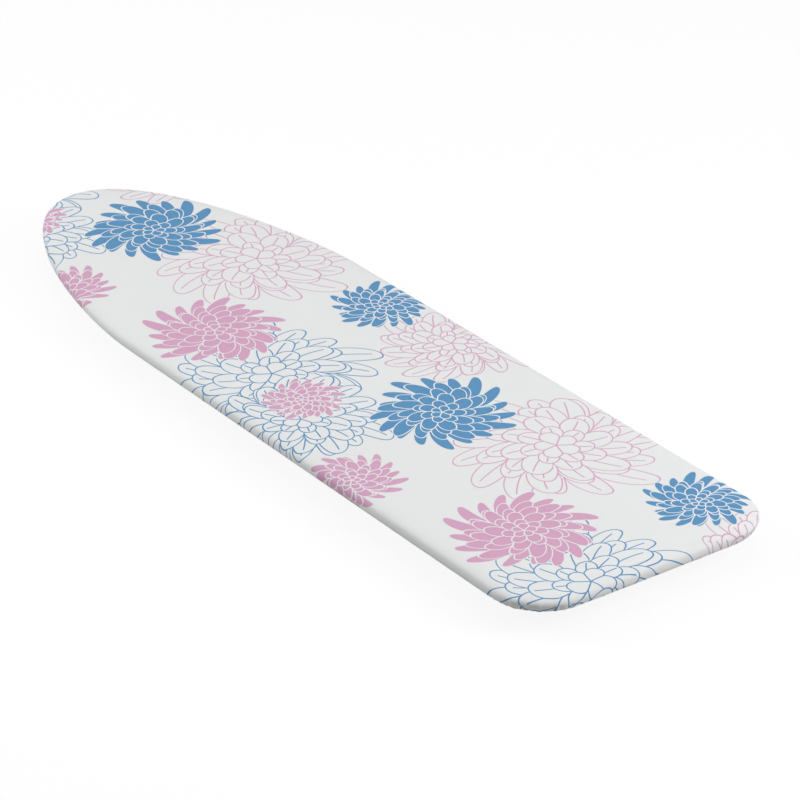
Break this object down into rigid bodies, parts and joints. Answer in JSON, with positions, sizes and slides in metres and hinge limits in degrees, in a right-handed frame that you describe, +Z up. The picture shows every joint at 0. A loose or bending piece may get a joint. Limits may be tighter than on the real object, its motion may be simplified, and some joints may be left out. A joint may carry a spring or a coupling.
{
  "type": "ironing board",
  "caption": "Folding ironing board with a padded, printed cotton cover over a perforated steel top, crossed tube legs and a lever height lock, stored folded flat.",
  "frame": {"origin": "on the floor under the middle of the folded board", "axes": "+X along the board to its nose, +Y across the board to its left side seen from the heel, +Z up through the ironing surface"},
  "size_m": [1.25, 0.38, 0.05],
  "materials": {
    "cotton": "printed cotton, matt",
    "foam": "open foam",
    "elastic": "woven elastic",
    "paint": "light grey powder coat",
    "zinc": "zinc plated",
    "nylon": "natural nylon",
    "grey_plastic": "matt moulded",
    "grip_plastic": "matt moulded",
    "rubber": "matt"
  },
  "bodies": {
    "board": {"cover": "cotton", "foam_pad": "foam", "cover_elastic": "elastic", "top_sheet": "paint", "edge_frame": "paint", "cross_rib_1": "paint", "cross_rib_2": "paint", "cross_rib_3": "paint", "cross_rib_4": "paint", "cross_rib_5": "paint", "hinge_ear_left": "zinc", "hinge_ear_right": "zinc", "hinge_axle": "zinc", "hinge_rivets": "zinc", "slide_rail_left": "paint", "slide_rail_right": "paint", "rail_rivets": "zinc", "shaft_bearing_1": "nylon", "shaft_bearing_2": "nylon", "shaft_bearing_3": "nylon", "shaft_bearing_4": "nylon"},
    "inner_leg": {"inner_tube_left": "paint", "inner_tube_right": "paint", "inner_foot_bar": "paint", "inner_brace": "paint", "inner_foot_cap_left": "rubber", "inner_foot_cap_right": "rubber", "hinge_bush_left": "nylon", "hinge_bush_right": "nylon", "cross_bush_left": "nylon", "cross_bush_right": "nylon", "inner_plug_left": "grey_plastic", "inner_plug_right": "grey_plastic"},
    "outer_leg": {"outer_tube_left": "paint", "outer_tube_right": "paint", "outer_foot_bar": "paint", "outer_foot_cap_left": "rubber", "outer_foot_cap_right": "rubber", "outer_plug_left": "grey_plastic", "outer_plug_right": "grey_plastic", "slider_bar": "zinc", "glide_left": "nylon", "glide_right": "nylon", "slider_clip_left": "zinc", "slider_clip_right": "zinc", "cross_bolt_left": "zinc", "cross_bolt_right": "zinc", "cross_spacer_left": "nylon", "cross_spacer_right": "nylon", "cross_nut_left": "zinc", "cross_nut_right": "zinc"},
    "lock": {"lock_shaft": "zinc", "lock_comb": "zinc", "lock_lever": "zinc", "lever_grip": "grip_plastic"}
  },
  "joints": [
    {"name": "leg_fold", "type": "hinge", "parent": "board", "child": "inner_leg", "pos_m": [-0.51, 0, 0.0255], "axis": [0, 1, 0], "range_deg": [0, 54]},
    {"name": "leg_cross", "type": "hinge", "parent": "inner_leg", "child": "outer_leg", "pos_m": [-0.03255, 0, 0.01851], "axis": [0, 1, 0], "range_deg": [-108, 0]},
    {"name": "lock_turn", "type": "hinge", "parent": "board", "child": "lock", "pos_m": [0, 0, 0.0345], "axis": [1, 0, 0], "range_deg": [0, 75]}
  ],
  "couplings": [
    {"joint": "leg_cross", "follows": "leg_fold", "ratio": -2}
  ]
}
